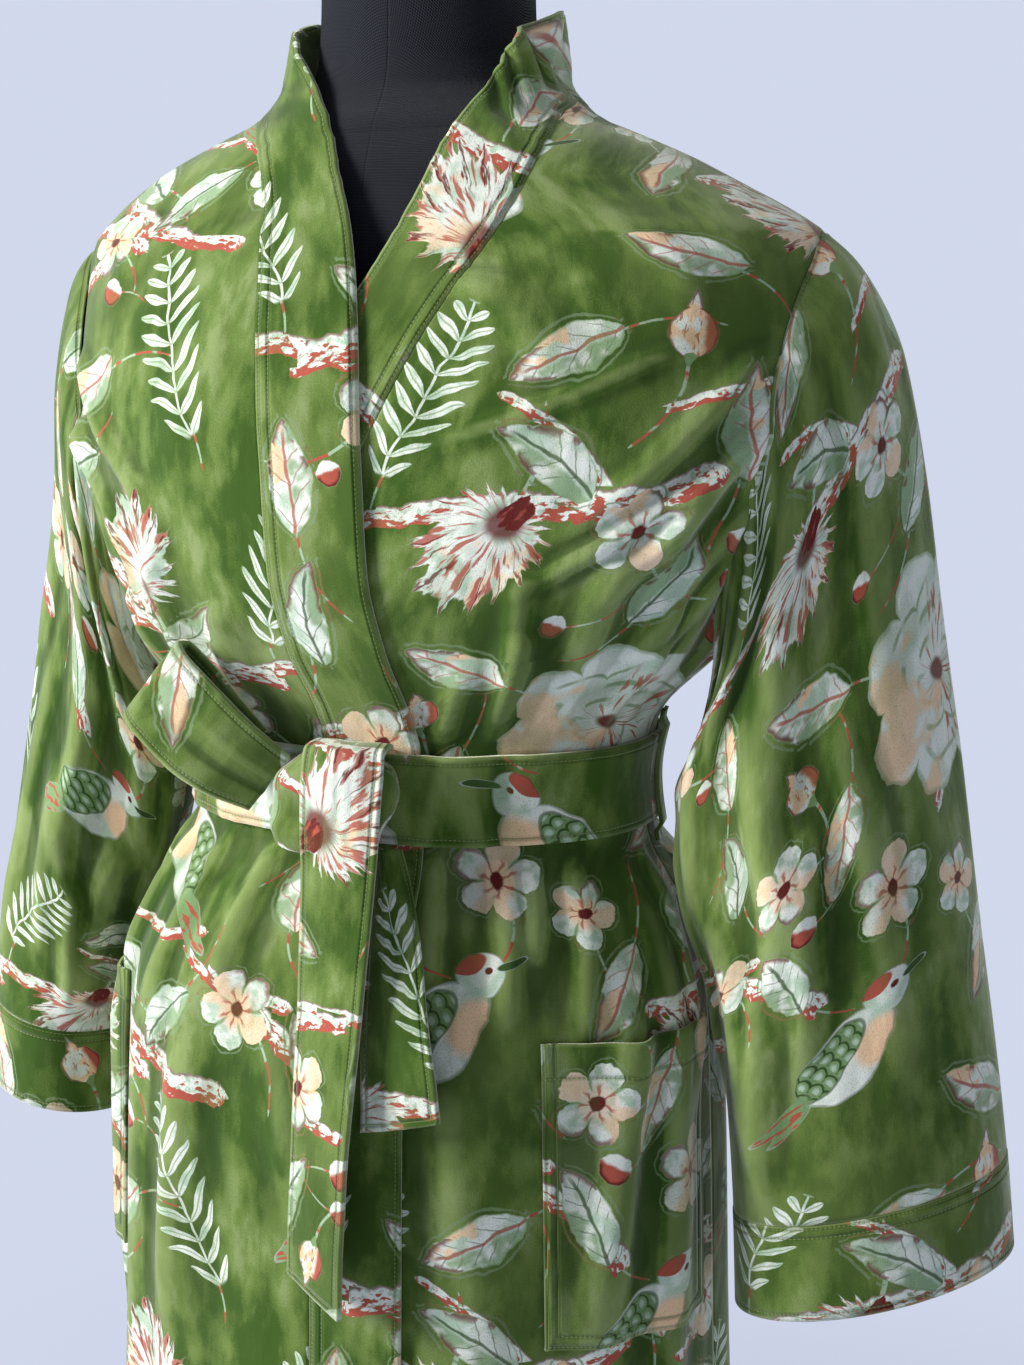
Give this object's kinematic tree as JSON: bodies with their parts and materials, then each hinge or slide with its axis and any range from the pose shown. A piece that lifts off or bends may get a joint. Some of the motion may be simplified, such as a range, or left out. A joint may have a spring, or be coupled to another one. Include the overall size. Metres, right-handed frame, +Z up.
{
  "type": "kimono robe on a dress form",
  "caption": "Wrap kimono robe of printed green velvet with wide sleeves, tied belt and patch pockets, worn by a limbless jersey dress form on a round steel stand",
  "frame": {"origin": "middle of the stand's underside, on the floor", "axes": "+Z up along the form; the robe faces -Y, the wearer's left is +X"},
  "size_m": [0.693, 0.37, 1.501],
  "materials": {
    "velvet": "printed cotton velvet, short pile with a soft sheen",
    "jersey": "fine ribbed black jersey, matt",
    "stand": "black powder coat, satin"
  },
  "bodies": {
    "root": {"back": "velvet", "front_left": "velvet", "front_right": "velvet", "neckband_left": "velvet", "neckband_right": "velvet", "sleeve_left": "velvet", "sleeve_right": "velvet", "cuff_left": "velvet", "cuff_right": "velvet", "pocket_left": "velvet", "pocket_right": "velvet", "belt": "velvet", "belt_loop_left": "velvet", "belt_loop_right": "velvet", "belt_knot": "velvet", "belt_bow": "velvet", "belt_end_long": "velvet", "belt_end_short": "velvet", "form_torso": "jersey", "form_neck_cap": "jersey", "stand_socket": "stand", "stand_pole": "stand", "stand_collar": "stand", "stand_base": "stand"}
  },
  "joints": []
}
